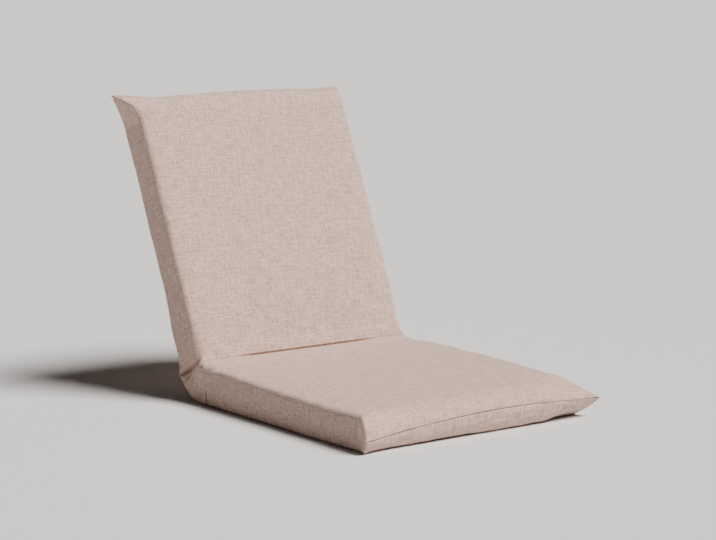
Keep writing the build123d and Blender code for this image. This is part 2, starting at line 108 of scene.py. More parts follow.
# ---- the sleeve: one cloth tube from the front seam over the seat, round the hinge and up the back
sleeve = {
    "halfWidth": 0.2105,
    "shift": -0.0016,  # the stuffed sides lean this far to the sitter's right
    "seatLength": 0.480,
    "backLength": 0.478,
    "seatThickness": 0.0695,  # at the hinge
    "backThickness": 0.0625,
    "seatTaper": 0.0110,  # how much thinner at the end seam
    "backTaper": 0.0,
    "seatBow": 0.0,  # how much further the end seam stands in its middle
    "backBow": 0.0065,
    "bowRun": 0.10,
    "topRound": 0.044,  # length over which a sitting face falls to its seam
    "topPower": 2.2,  # 2 is a quarter circle, more is squarer
    "seatUnderRound": 0.024,  # and over which an under face rises to it
    "backUnderRound": 0.040,
    "underPower": 2.4,
    "seamHalf": 0.0012,  # half the thickness at the seam
    "seam": {  # height of each end seam at places across it
        "seat": (
            (-0.229, 0.019), (-0.189, 0.0218), (-0.11, 0.030), (-0.034, 0.0355),
            (0.034, 0.0374), (0.10, 0.037), (0.216, 0.0314), (0.245, 0.0276),
        ),
        "back": ((-0.21, 0.031), (0.0, 0.031), (0.21, 0.031)),
    },
}
sitting = {
    "seatCrown": 0.0042,  # how far each sitting face domes
    "backCrown": 0.0030,
    "crownPower": 9.0,  # how far out it stays level before it falls to its edges
    "crownEnds": 0.6,  # and how fast it rises from either end
    "crownFrom": 0.55,  # the dome lifts the cloth above this share of the height
    "crownOver": 0.35,
    "tilt": 0.0050,  # the seat's face stands this much higher at +X and lower at -X
    "dip": 0.0027,  # both faces sink this much towards the crease
    "dipRun": 0.080,
    "dipPower": 1.4,
    "raise": 0.0064,  # and rise this much where they meet in it
    "raiseRun": 0.050,
    "raisePower": 1.5,
    "raiseLess": 0.15,  # the share of that rise which the crease's -X end lacks
    "lessFrom": 0.6,
}
underside = {
    "zipRise": 0.0069,  # height of the seat's under face beside the zip
    "skirt": 0.0008,  # the same at the sides, where the cloth hangs low
    "skirtFrom": 0.80,  # as shares of the half width
    "skirtOver": 0.17,
    "riseEnd": 0.062,  # distance from the hinge where that rise is gone
    "riseOver": 0.026,
    "backSwell": 0.0070,  # the back's rear face swells this much beside the hinge
    "swellTo": 0.070,
    "swellOver": 0.090,
    "knee": 0.0085,  # and this much more where it turns round it
    "kneeRun": 0.014,
}
edges = {
    "top": 0.0090,  # radius of the edges round the sitting faces
    "byHinge": 0.0100,  # how much rounder they are beside the hinge
    "grows": 0.012,
    "fades": 0.075,
    "under": 0.0048,
    "most": 0.47,  # a radius is at most this share of the height
    "belly": 0.0006,  # each side swells this much half way up
    "bellyFrom": 0.93,
    "bellyOver": 0.06,
}
corners = {
    "from": 0.55,  # the share of the half width where a corner begins
    "power": 1.5,
    "tipFrom": 0.82,  # and where its tip does
    "flarePower": 1.3,
}
# how far a tip stands out and over which length it flares, the runs and power of the fall to its
# seam above and below, and how far the tip lifts and runs on
ears = {
    ("seat", -1): {
        "out": 0.005, "flare": 0.020, "run": 0.014, "under": 0.010, "power": 0.50,
        "lift": 0.0, "far": 0.006,
    },
    ("seat", 1): {
        "out": 0.034, "flare": 0.080, "run": 0.062, "under": 0.038, "power": 0.66,
        "lift": 0.0, "far": 0.002,
    },
    ("back", -1): {
        "out": 0.030, "flare": 0.046, "run": 0.022, "under": 0.046, "power": 0.75,
        "lift": 0.004, "far": 0.011,
    },
    ("back", 1): {
        "out": 0.012, "flare": 0.036, "run": 0.030, "under": 0.036, "power": 0.75,
        "lift": 0.005, "far": 0.003,
    },
}
grid = {
    "face": 104,  # columns across the under and the sitting face
    "side": 26,
    "faceCrowding": 0.65,  # 0 spaces columns evenly, near 1 packs them at the edges
    "sideCrowding": 0.25,
    "hingeStep": 0.00095,  # between rows beside the hinge
    "seatNear": 0.040,  # as far from it as this
    "backNear": 0.026,
    "padStep": 0.0046,  # and further along
    "seamZone": 0.046,
    "seamRows": 26,
    "hingeRows": 44,
    "seamMark": 150,  # the sitting face's column that stands for a row's distance from the seam
    "lengthMark": 176,  # and the one along which the cloth's length is taken
    "roundMark": 60,  # the row round which it is taken
}
# the last rows turn in by the first number and keep the second's share of the thickness
stitches = ((0.0006, 0.55), (0.0018, 0.30), (0.0032, 0.12))
rearDepth = sleeve["backThickness"] - sitting["dip"]  # from the hinge axis to the back's rear face


def rowPlaces(length, nearHinge):
    # distances from the hinge: even steps beside it, longer ones along the pad, and steps that
    # shrink as 1 - sine towards the seam
    near = np.arange(hinge["clear"], nearHinge, grid["hingeStep"])
    far = length - grid["seamZone"]
    middleRows = np.linspace(nearHinge, far, int((far - nearHinge) / grid["padStep"]))
    quarter = np.linspace(0.0, 0.5, grid["seamRows"] + 1)[1:] * math.pi
    seamward = length - grid["seamZone"] * (1.0 - np.sin(quarter))
    return np.concatenate([near, middleRows, seamward])


def crowded(count, amount):
    # places between 0 and 1, closer at both ends: t - amount sin(2 pi t) / (2 pi)
    t = (np.arange(count) + 0.5) / count
    return t - amount * np.sin(2.0 * math.pi * t) / (2.0 * math.pi)


def ringOutline():
    # (x, height) of a plain box outline in -1..1 and 0..1: under face, +X side, sitting face, -X side
    n, m = grid["face"], grid["side"]
    t = crowded(n, grid["faceCrowding"])
    u = crowded(m, grid["sideCrowding"])
    x = np.concatenate([2.0 * t - 1.0, np.ones(m), 1.0 - 2.0 * t, -np.ones(m)])
    height = np.concatenate([np.zeros(n), u, np.ones(n), 1.0 - u])
    return x, height


def mirrorColumns():
    # the column straight above or below each one, on the far face of the flattened tube
    n, m = grid["face"], grid["side"]
    face, side = np.arange(n), np.arange(m)
    return np.concatenate([2 * n + m - 1 - face, n + m - 1 - side, n - 1 - face, 2 * n + 2 * m - 1 - side])


ringX, ringHeight = ringOutline()
mirrorColumn = mirrorColumns()


def roundedBox(x, z, half, low, high, radius):
    # an outline point goes to its nearest point in the inner box, plus radius along the way out
    radius = np.minimum(radius, edges["most"] * (high - low))
    insideX = np.clip(x, radius - half, half - radius)
    insideZ = np.clip(z, low + radius, high - radius)
    outX, outZ = x - insideX, z - insideZ
    reach = np.maximum(np.hypot(outX, outZ), 1e-9)
    return insideX + radius * outX / reach, insideZ + radius * outZ / reach


def seamHeight(pad, x):
    # a fourth-degree curve through the seam's measured heights, x in -1..1
    place, height = np.array(sleeve["seam"][pad]).T
    return np.polyval(np.polyfit(place, height, min(4, len(place) - 1)), x * sleeve["halfWidth"])


def sittingFace(pad, x, s):
    # height of a pad's face: thickness less its taper, less dip (1 - s / dipRun)^dipPower towards
    # the crease, plus raise (1 - s / raiseRun)^raisePower at it, a little less at its -X end
    f = sitting
    raised = 1.0 - f["raiseLess"] * smooth((-x - f["lessFrom"]) / (1.0 - f["lessFrom"]))
    flat = sleeve[pad + "Thickness"] - sleeve[pad + "Taper"] * s / sleeve[pad + "Length"]
    sunk = f["dip"] * falling(s, f["dipRun"]) ** f["dipPower"]
    return flat - sunk + f["raise"] * raised * falling(s, f["raiseRun"]) ** f["raisePower"]


def hollow(x):
    # height of the seat's under face beside the zip, which a smooth step takes down at the sides
    u = underside
    atSide = smooth((np.abs(x) - u["skirtFrom"]) / u["skirtOver"])
    return u["zipRise"] + (u["skirt"] - u["zipRise"]) * atSide


def underFace(pad, x, s):
    # height of a pad's other face: the hollow by the zip, or the back's swelling and its knee
    u = underside
    if pad == "seat":
        return hollow(x) * smooth((u["riseEnd"] - s) / u["riseOver"])
    swell = u["backSwell"] * (1.0 - smooth((s - u["swellTo"]) / u["swellOver"]))
    return 0.0 * x - swell - u["knee"] * np.exp(-s / u["kneeRun"])


def padRows(pad, s):
    # a pad's cloth at distances s from the hinge, as points (x, along, up): a rounded box whose
    # height falls to the seam, as a power of an ellipse in the middle and a plain power in the
    # corners, and whose sides flare out to the ears
    p = sleeve
    s = s[:, None]
    x = ringX[None, :] + 0.0 * s
    height = ringHeight[None, :] + 0.0 * s
    toSeam = p[pad + "Length"] - s
    seam = seamHeight(pad, x)
    low = underFace(pad, x, s)
    high = sittingFace(pad, x, s)
    half = p["halfWidth"]
    underRound = p[pad + "UnderRound"]
    corner = smooth((np.abs(x) - corners["from"]) / (1.0 - corners["from"])) ** corners["power"]
    tip = smooth((np.abs(x) - corners["tipFrom"]) / (1.0 - corners["tipFrom"]))
    run, under, power = np.full(x.shape, p["topRound"]), np.full(x.shape, underRound), 0.0 * x
    out, lift, far = 0.0 * x, 0.0 * x, 0.0 * x
    for side in (-1, 1):
        ear = ears[(pad, side)]
        ours = np.sign(x) == side
        here = ours * corner
        run = run + here * (ear["run"] - p["topRound"])
        under = under + here * (ear["under"] - underRound)
        power = power + ours * ear["power"]
        flare = falling(toSeam, ear["flare"]) ** corners["flarePower"]
        out = out + flare * ear["out"] * side * ours * tip
        lift = lift + flare * ear["lift"] * here**2
        far = far + flare * ear["far"] * here**2
    fall = np.clip(toSeam / run, 0.0, 1.0)
    fallUnder = np.clip(toSeam / under, 0.0, 1.0)
    roundTop = np.sqrt(1.0 - (1.0 - fall) ** p["topPower"])
    roundUnder = np.sqrt(1.0 - (1.0 - fallUnder) ** p["underPower"])
    swell = roundTop + (fall**power - roundTop) * corner
    swellUnder = roundUnder + (fallUnder**power - roundUnder) * corner
    far = far + p[pad + "Bow"] * (1.0 - x**2) * smooth(1.0 - toSeam / p["bowRun"])
    lowEnd = seam - np.maximum((seam - low) * swellUnder, p["seamHalf"])
    highEnd = seam + np.maximum((high - seam) * swell, p["seamHalf"])
    z = lowEnd + (highEnd - lowEnd) * height
    top = edges["top"] + edges["byHinge"] * (1.0 - smooth(s / edges["fades"])) * smooth(s / edges["grows"])
    x, z = roundedBox(x * half, z, half, lowEnd, highEnd, np.where(height > 0.5, top, edges["under"]))
    heightNow = np.clip((z - lowEnd) / (highEnd - lowEnd), 0.0, 1.0)
    along = np.sin(math.pi * np.clip(s / p[pad + "Length"], 0.0, 1.0)) ** sitting["crownEnds"]
    level = 1.0 - np.clip(np.abs(x) / half, 0.0, 1.0) ** sitting["crownPower"]
    crown = sitting[pad + "Crown"] * along * level * swell
    if pad == "seat":
        crown = crown + sitting["tilt"] * x / half * swell * along
    z = z + crown * smooth((heightNow - sitting["crownFrom"]) / sitting["crownOver"])
    side = smooth((np.abs(x) / half - edges["bellyFrom"]) / edges["bellyOver"])
    x = x + np.sign(x) * edges["belly"] * np.sin(math.pi * heightNow) * side * swell
    return np.stack([x + out + p["shift"], s + far, z + lift], -1)


def seamRows(last):
    # rows that turn in from the last one to the closed stitch line
    rows = []
    for inward, thin in stitches:
        row = last.copy()
        middleUp = 0.5 * (row[:, 2] + row[mirrorColumn, 2])
        row[:, 1] -= inward
        row[:, 2] = middleUp + (row[:, 2] - middleUp) * thin
        rows.append(row)
    return np.array(rows)


def toFrame(pad, local):
    # (x, along, up) of a pad to the object's frame
    if pad == "seat":
        return np.stack([local[..., 0], hinge["y"] - local[..., 1], local[..., 2]], -1)
    spot = axisPoint - backNormal * rearDepth + local[..., 1:2] * backWay + local[..., 2:3] * backNormal
    spot[..., 0] = local[..., 0]
    return spot


# a tuck in either side beside the hinge: places are shares of the turn from the seat to the back,
# then shares of the way in from the outside
tuck = {
    "depth": 0.0120,
    "lowEnd": 0.66,
    "ridge": 0.84,  # a ridge in it takes back part of the depth
    "ridgeHalf": 0.035,
    "ridgeShare": 0.45,
    "edge": 0.955,
    "edgeHalf": 0.012,
    "inStart": 0.02,
    "inRun": 0.14,
    "inEnd": 0.92,
    "inEndRun": 0.22,
    "slit": 0.014,  # how much deeper the slit under its upper edge is
    "slitPlace": 0.925,
    "slitHalf": 0.024,
    "slitStart": 0.03,
    "slitRun": 0.16,
    "slitEnd": 0.97,
    "slitEndRun": 0.10,
    "swell": 0.002,  # the cloth under the tuck stands out this much
    "swellPlace": 0.44,
    "swellHalf": 0.20,
    "sideFrom": 0.90,  # shares of the half width over which it fades in
    "sideOver": 0.08,
}


def tuckDepth(share, inward):
    # how far the side goes in: smooth steps round the fold, less the ridge's bump, plus the slit's,
    # less a half wave of swelling
    t = tuck
    fold = smooth((t["edge"] + t["edgeHalf"] - share) / (2.0 * t["edgeHalf"]))
    fold = fold * smooth((share - t["lowEnd"]) / (t["ridge"] - t["lowEnd"]))
    fold = fold * (1.0 - t["ridgeShare"] * bump(share, t["ridge"], t["ridgeHalf"]))
    fold = fold * smooth((inward - t["inStart"]) / t["inRun"])
    fold = fold * smooth((t["inEnd"] - inward) / t["inEndRun"])
    slit = bump(share, t["slitPlace"], t["slitHalf"]) * smooth((inward - t["slitStart"]) / t["slitRun"])
    slit = slit * smooth((t["slitEnd"] - inward) / t["slitEndRun"])
    swell = np.sin(math.pi * inward) * bump(share, t["swellPlace"], t["swellHalf"])
    return t["depth"] * fold + t["slit"] * slit - t["swell"] * swell


turn = {
    "swell": 0.0022,  # how much the cloth stands out half way round the hinge
    "peak": 0.0050,  # and just before it meets the back
    "peakPlace": 0.92,
    "peakHalf": 0.10,
    "peakEnd": 0.06,
    "cover": 0.0016,  # the cloth stands this much over the axis
    "coverHalf": 0.004,
    "pinch": 0.0048,  # but the fold line is pinched down by this
    "pinchHalf": 0.0016,
    "eyeShare": 0.68,  # less this share of it over the hinge eyes
    "eyeFrom": 0.100,
    "eyeOver": 0.050,
}


def hingeRows(count):
    # the cloth round the hinge. Feet lie at reach along an angle that turns with the share of the
    # way. Heads lie far along a pad and up from it; far shrinks to where the two sitting faces meet,
    # and a bump there pinches them down
    w, u, clear = turn, underside, hinge["clear"]
    half = sleeve["halfWidth"]
    share = (np.arange(count)[:, None] + 1.0) / (count + 1.0)
    x = ringX[None, :] + 0.0 * share
    height = ringHeight[None, :] + 0.0 * share
    share = share + 0.0 * x
    angle = np.radians(-90.0 + share * hinge["backAngle"])
    startReach = hinge["z"] - hollow(x)
    endReach = rearDepth + u["backSwell"] + u["knee"] * math.exp(-clear / u["kneeRun"])
    reach = startReach + (endReach - startReach) * smooth(share) + w["swell"] * np.sin(math.pi * share)
    peak = bump(share, w["peakPlace"], w["peakHalf"]) * smooth((1.0 - share) / w["peakEnd"])
    reach = reach + w["peak"] * peak
    startStep = clear * (1.0 - share) ** 3
    endStep = clear * share**3
    footY = hinge["y"] + reach * np.cos(angle) - startStep + endStep * backWay[1]
    footZ = hinge["z"] + reach * np.sin(angle) + endStep * backWay[2]
    travel = 1.0 - 2.0 * share
    lift = np.maximum(sittingFace("seat", x, 0.0) - hinge["z"], 0.0)
    meet = lift * math.tan(0.5 * lean)
    far = meet + (clear - meet) * np.abs(travel)
    seatUp = sittingFace("seat", x, far) - hinge["z"]
    backUp = sittingFace("back", x, far) - rearDepth
    up = seatUp + (backUp - seatUp) * smooth(share)
    fromMiddle = np.abs(x * half + sleeve["shift"])
    pinched = 1.0 - w["eyeShare"] * smooth((fromMiddle - w["eyeFrom"]) / w["eyeOver"])
    up = up + w["cover"] * bump(far, 0.0, w["coverHalf"])
    up = up - pinched * w["pinch"] * bump(far, meet, w["pinchHalf"])
    headY = hinge["y"] + np.where(travel > 0, -far, far * backWay[1] + up * backNormal[1])
    headZ = hinge["z"] + np.where(travel > 0, up, far * backWay[2] + up * backNormal[2])
    tall = np.hypot(headY - footY, headZ - footZ)
    radius = np.where(height > 0.5, edges["top"], edges["under"])
    across, upward = roundedBox(x * half, tall * height, half, 0.0 * tall, tall, radius)
    part = upward / tall
    onSide = smooth((np.abs(across) / half - tuck["sideFrom"]) / tuck["sideOver"])
    across = across - np.sign(across) * onSide * tuckDepth(share, 1.0 - part)
    spotY, spotZ = footY + (headY - footY) * part, footZ + (headZ - footZ) * part
    return np.stack([across + sleeve["shift"], spotY, spotZ], -1)


print("sleeve")
seatLocal = padRows("seat", rowPlaces(sleeve["seatLength"], grid["seatNear"]))
backLocal = padRows("back", rowPlaces(sleeve["backLength"], grid["backNear"]))
seatLocal = np.concatenate([seatLocal, seamRows(seatLocal[-1])])[::-1]
backLocal = np.concatenate([backLocal, seamRows(backLocal[-1])])
firstHinge = len(seatLocal)
firstBack = firstHinge + grid["hingeRows"]
sleevePoints = np.concatenate([
    toFrame("seat", seatLocal),
    hingeRows(grid["hingeRows"]),
    toFrame("back", backLocal),
])
# each row's distance from the hinge, and from its own end seam
rowFromHinge = np.concatenate([seatLocal[:, 0, 1], np.zeros(grid["hingeRows"]), backLocal[:, 0, 1]])
rowFromSeam = np.concatenate([
    sleeve["seatLength"] - seatLocal[:, grid["seamMark"], 1],
    np.ones(grid["hingeRows"]),
    sleeve["backLength"] - backLocal[:, grid["seamMark"], 1],
])


def tubeQuads(rows, columns):
    # the faces of a tube of rows, each a closed ring of columns
    i, j = np.meshgrid(np.arange(rows - 1), np.arange(columns), indexing="ij")
    k = (j + 1) % columns
    corner = [i * columns + j, (i + 1) * columns + j, (i + 1) * columns + k, i * columns + k]
    return np.stack(corner, -1).reshape(-1, 4)


settling = {
    "pressure": 4.0,
    "frames": 20,
    "quality": 5,
    "mass": 0.25,
    "tension": 18.0,
    "shear": 8.0,
    "bending": 0.4,
    "damping": 2.0,
    "shrink": -0.010,  # the cloth is cut larger than the form by this share
    "hingeHold": 0.014,  # rows this near the hinge and the seams are held
    "seamHold": 0.004,
    "broad": 12,  # passes of smoothing that find the broad swelling, which is left out
    "share": 0.30,  # of each other move that is kept
    "cap": 0.0020,
}


def smoothed(values, passes):
    # each value becomes a quarter of either neighbour and half itself, along rows and round columns
    for _ in range(passes):
        edge = np.concatenate([values[:1], values, values[-1:]])
        values = 0.25 * edge[:-2] + 0.5 * edge[1:-1] + 0.25 * edge[2:]
        values = 0.25 * np.roll(values, 1, 1) + 0.5 * values + 0.25 * np.roll(values, -1, 1)
    return values


def spread(coarse, rows, columns):
    # a grid of every second row and column, read between its points for the full grid
    i, j = np.arange(rows) / 2.0, np.arange(columns) / 2.0
    i0 = np.minimum(i.astype(int), len(coarse) - 1)
    i1 = np.minimum(i0 + 1, len(coarse) - 1)
    j0 = j.astype(int) % coarse.shape[1]
    j1 = (j0 + 1) % coarse.shape[1]
    fi, fj = (i % 1.0)[:, None, None], (j % 1.0)[None, :, None]
    first = coarse[i0][:, j0] * (1.0 - fj) + coarse[i0][:, j1] * fj
    second = coarse[i1][:, j0] * (1.0 - fj) + coarse[i1][:, j1] * fj
    return first * (1.0 - fi) + second * fi


def settle(points):
    # Blender's cloth under pressure on every second row and column, held at the seams and round the
    # hinge; what each point moves, less the broad swelling, goes back to the full grid
    g = settling
    coarse = points[::2, ::2]
    rows, columns = coarse.shape[:2]
    mesh = bpy.data.meshes.new("settling")
    mesh.from_pydata(coarse.reshape(-1, 3).tolist(), [], tubeQuads(rows, columns).tolist())
    obj = linked("settling", mesh)
    held = obj.vertex_groups.new(name="held")
    heldRows = np.flatnonzero((rowFromHinge[::2] < g["hingeHold"]) | (rowFromSeam[::2] < g["seamHold"]))
    held.add((heldRows[:, None] * columns + np.arange(columns)).ravel().tolist(), 1.0, "REPLACE")
    cloth = obj.modifiers.new("cloth", "CLOTH")
    rules = cloth.settings
    rules.quality = g["quality"]
    rules.mass = g["mass"]
    rules.tension_stiffness = g["tension"]
    rules.compression_stiffness = g["tension"]
    rules.shear_stiffness = g["shear"]
    rules.bending_stiffness = g["bending"]
    rules.air_damping = g["damping"]
    rules.use_pressure = True
    rules.uniform_pressure_force = g["pressure"]
    rules.shrink_min = g["shrink"]
    rules.effector_weights.gravity = 0.0
    rules.vertex_group_mass = "held"
    cloth.collision_settings.use_collision = False
    cloth.point_cache.frame_start = 1
    cloth.point_cache.frame_end = g["frames"]
    for frameNumber in range(1, g["frames"] + 1):
        scene.frame_set(frameNumber)
    result = obj.evaluated_get(bpy.context.evaluated_depsgraph_get()).data
    settled = np.zeros(rows * columns * 3, np.float32)
    result.vertices.foreach_get("co", settled)
    scene.frame_set(1)
    bpy.data.objects.remove(obj)
    bpy.data.meshes.remove(mesh)
    move = settled.reshape(rows, columns, 3) - coarse
    print("settled, largest move", float(np.abs(move).max()), "mean", float(np.abs(move).mean()))
    move = (move - smoothed(move, g["broad"])) * g["share"]
    length = np.linalg.norm(move, axis=-1, keepdims=True)
    move = move * np.minimum(1.0, g["cap"] / np.maximum(length, 1e-9))
    return smoothed(spread(move, *points.shape[:2]), 1)


sleevePoints = sleevePoints + settle(sleevePoints)

needlework = {
    "pucker": 0.0007,  # depth of the gathers beside the end seams
    "puckerPitch": 0.010,
    "puckerStray": 0.6,  # in pitches
    "puckerFade": 0.009,
    "puckerStart": 0.003,
    "uneven": 0.0005,  # broad unevenness of the stuffing
    "crumple": 0.0004,  # folds in the sides, beside the hinge and at the corners
    "sideFrom": 0.150,
    "sideOver": 0.055,
    "hingeShare": 0.55,
    "hingeRun": 0.060,
    "hingeStart": 0.012,
    "cornerShare": 0.8,
    "cornerRun": 0.055,
    "stitchClear": 0.002,  # all of it fades out this near the stitches
    "turnShare": 0.3,  # and this much of it is left round the hinge
}
pleat = {  # in the middle of the back's top edge
    "across": -0.010,
    "length": 0.028,
    "depth": 0.0026,
    "half": 0.0022,
    "ridge": 0.5,  # the fold beside it stands up by this share of the depth
    "ridgeAway": 2.2,  # in halves of the pleat
    "ridgeHalf": 1.6,
    "within": 0.15,
    "stitchClear": 0.003,
}
zipSlit = {
    "place": 0.0220,  # from the hinge axis, on the seat's side of it
    "half": 0.0034,  # half the gap between the welts under the seat
    "depth": 0.0030,
    "sidePlace": 0.0190,  # the gap's ends, which turn up into the sides
    "sideHalf": 0.0019,
    "sideDepth": 0.0150,
    "sideHeight": 0.026,
    "sideFade": 0.004,
    "sideFrom": 0.19,
    "welt": 0.0006,
    "floorClear": 0.0003,
}


def gridNormals(points):
    # the cross product of the steps along and round the tube, of length one
    along = np.gradient(points, axis=0)
    around = np.roll(points, -1, 1) - np.roll(points, 1, 1)
    normal = np.cross(along, around)
    return normal / np.maximum(np.linalg.norm(normal, axis=-1, keepdims=True), 1e-12)


def gathers(x, y, z):
    # short waves that fade from the end seams as exp(-distance / fade), long waves everywhere, and
    # folds that fade from the hinge and the corners as exp(-(distance / run)^2)
    w = needlework
    fromSeam, fromHinge = rowFromSeam[:, None], rowFromHinge[:, None]
    fade = np.exp(-fromSeam / w["puckerFade"]) * smooth(fromSeam / w["puckerStart"])
    turns = x / w["puckerPitch"] + w["puckerStray"] * waves(5, 4, 0.03, 0.09, x)
    lift = w["pucker"] * fade * np.sin(2.0 * math.pi * turns)
    lift = lift + w["uneven"] * waves(11, 14, 0.05, 0.14, x, y, z)
    sideways = smooth((np.abs(x) - w["sideFrom"]) / w["sideOver"])
    byHinge = w["hingeShare"] * bump(fromHinge, 0.0, w["hingeRun"]) * (fromHinge > w["hingeStart"])
    byCorner = w["cornerShare"] * bump(fromSeam, 0.0, w["cornerRun"])
    folds = w["crumple"] * waves(23, 10, 0.016, 0.045, x, y * 1.5, z)
    lift = lift + folds * sideways * (byHinge + byCorner)
    lift = lift * smooth(fromSeam / w["stitchClear"])
    lift[firstHinge:firstBack] *= w["turnShare"]
    return lift


def pleatDepth(x):
    # a groove of bump section with a lower bump beside it, on the back's sitting face only
    t = pleat
    fromSeam = rowFromSeam[:, None]
    here = np.zeros(x.shape, bool)
    here[firstBack:, grid["face"] + grid["side"]:] = True
    here &= np.abs(x) < t["within"]
    ridge = bump(x, t["across"] + t["ridgeAway"] * t["half"], t["ridgeHalf"] * t["half"])
    groove = bump(x, t["across"], t["half"]) - t["ridge"] * ridge
    fade = smooth(1.0 - fromSeam / t["length"]) * smooth(fromSeam / t["stitchClear"])
    return here * t["depth"] * groove * fade


def openZip(points):
    # the under face goes up, and the sides go in, within half a gap of the zip's line
    s = zipSlit
    under = np.arange(points.shape[1]) < grid["face"]
    inSeat = np.arange(len(points))[:, None] < firstHinge
    away = np.abs(rowFromHinge[:, None] - s["place"])
    awaySide = np.abs(rowFromHinge[:, None] - s["sidePlace"])
    gap = inSeat * smooth((s["half"] + s["welt"] - away) / s["welt"])
    sideGap = inSeat * smooth((s["sideHalf"] + s["welt"] - awaySide) / s["welt"])
    sideGap = sideGap * smooth((s["sideHeight"] - points[..., 2]) / s["sideFade"])
    side = np.sign(points[..., 0]) * ~under * (np.abs(points[..., 0]) > s["sideFrom"])
    points[..., 2] += s["depth"] * gap * under
    points[..., 0] -= s["sideDepth"] * sideGap * side
    points[:firstHinge, :, 2] = np.maximum(points[:firstHinge, :, 2], s["floorClear"])
    return points


x, y, z = np.moveaxis(sleevePoints, -1, 0)
relief = gathers(x, y, z) - pleatDepth(x)
sleevePoints = openZip(sleevePoints + gridNormals(sleevePoints) * relief[..., None])


def clothLengths(points):
    # arc length along the middle of the sleeve, and round the section at mid seat
    steps = np.linalg.norm(np.diff(points[:, grid["lengthMark"]], axis=0), axis=1)
    along = np.concatenate([[0.0], np.cumsum(steps)])
    ring = points[grid["roundMark"]]
    steps = np.linalg.norm(np.roll(ring, -1, 0) - ring, axis=1)
    around = np.concatenate([[0.0], np.cumsum(steps)[:-1]])
    return along, around


def capFaces(firstVertex, flip):
    # quads that close a flattened end, pairing each under column with the one above it
    n, m = grid["face"], grid["side"]
    lowerLeft = 2 * n + 2 * m - 1 - np.arange(m // 2)  # the lower half of the -X side, from its foot up
    lower = np.concatenate([lowerLeft[::-1], np.arange(n), n + np.arange(m // 2)])
    upper = mirrorColumn[lower]
    quads = np.stack([lower[:-1], lower[1:], upper[1:], upper[:-1]], -1) + firstVertex
    return quads[:, ::-1] if flip else quads


def tubeMesh(name, points):
    # quads round the rings and a strip of quads over either flat end
    rows, columns = points.shape[:2]
    caps = [capFaces(0, False), capFaces((rows - 1) * columns, True)]
    faces = np.concatenate([tubeQuads(rows, columns)] + caps)
    mesh = bpy.data.meshes.new(name)
    mesh.from_pydata(points.reshape(-1, 3).tolist(), [], faces.tolist())
    mesh.polygons.foreach_set("use_smooth", np.ones(len(mesh.polygons), bool))
    mesh.update()
    return linked(name, mesh)


alongCloth, aroundCloth = clothLengths(sleevePoints)
cover = tubeMesh("sleeveCover", sleevePoints)
shape = sleevePoints.shape[:2]
addUv(
    cover,
    np.broadcast_to(aroundCloth[None, :], shape).ravel(),
    np.broadcast_to(alongCloth[:, None], shape).ravel(),
)
print("sleeve", shape, len(cover.data.polygons))


# ---- shader nodes that several materials use
def newGroup(name, inputs, outputs):
    # an empty node group with these sockets, its input node and its output node
    group = bpy.data.node_groups.new(name, "ShaderNodeTree")
    for socket, kind, value in inputs:
        made = group.interface.new_socket(name=socket, in_out="INPUT", socket_type=kind)
        if value is not None:
            made.default_value = value
    for socket, kind in outputs:
        group.interface.new_socket(name=socket, in_out="OUTPUT", socket_type=kind)
    start = group.nodes.new("NodeGroupInput")
    end = group.nodes.new("NodeGroupOutput")
    return group, start, end


def feed(tree, socket, value):
    # a number or colour is set on the socket, an output is linked to it
    if isinstance(value, (int, float, tuple)):
        socket.default_value = value
    else:
        tree.links.new(value, socket)


def mathNode(tree, operation, a, b=None, clamp=False):
    # the output of a maths node on one or two values
    node = tree.nodes.new("ShaderNodeMath")
    node.operation = operation
    node.use_clamp = clamp
    feed(tree, node.inputs[0], a)
    if b is not None:
        feed(tree, node.inputs[1], b)
    return node.outputs[0]


def noiseNode(tree, vector, scale, detail=2.0, roughness=0.5):
    # fractal noise between 0 and 1, scale features to the metre
    node = tree.nodes.new("ShaderNodeTexNoise")
    feed(tree, node.inputs["Vector"], vector)
    feed(tree, node.inputs["Scale"], scale)
    node.inputs["Detail"].default_value = detail
    node.inputs["Roughness"].default_value = roughness
    return node.outputs["Fac"]


def mixColour(tree, factor, a, b):
    # a + factor (b - a)
    node = tree.nodes.new("ShaderNodeMix")
    node.data_type = "RGBA"
    feed(tree, node.inputs[0], factor)
    feed(tree, node.inputs[6], a)
    feed(tree, node.inputs[7], b)
    return node.outputs[2]


def addBump(tree, shader, height, strength, distance):
    # tilts the shader's normal by the slope of height times distance
    node = tree.nodes.new("ShaderNodeBump")
    node.inputs["Strength"].default_value = strength
    node.inputs["Distance"].default_value = distance
    tree.links.new(height, node.inputs["Height"])
    tree.links.new(node.outputs[0], shader.inputs["Normal"])


def newMaterial(name):
    # a material, its nodes and its Principled BSDF
    material = bpy.data.materials.new(name)
    material.use_nodes = True
    tree = material.node_tree
    return material, tree, tree.nodes["Principled BSDF"]


# ---- slub linen
weave = {
    "threads": 1100.0,  # per metre
    "threadScale": 1000.0,  # of the noise along single threads, which is drawn out by threadLong
    "threadLong": 0.05,
    "slubScale": 330.0,
    "slubLong": 0.10,
    "fleckScale": 260.0,
    "fleckLong": 0.6,
    "patchScale": 60.0,
    "threadTone": 0.18,  # shares of the tone
    "slubTone": 0.20,
    "fleckTone": 0.24,
    "weaveHeight": 0.35,  # shares of the height
    "toneHeight": 0.9,
}


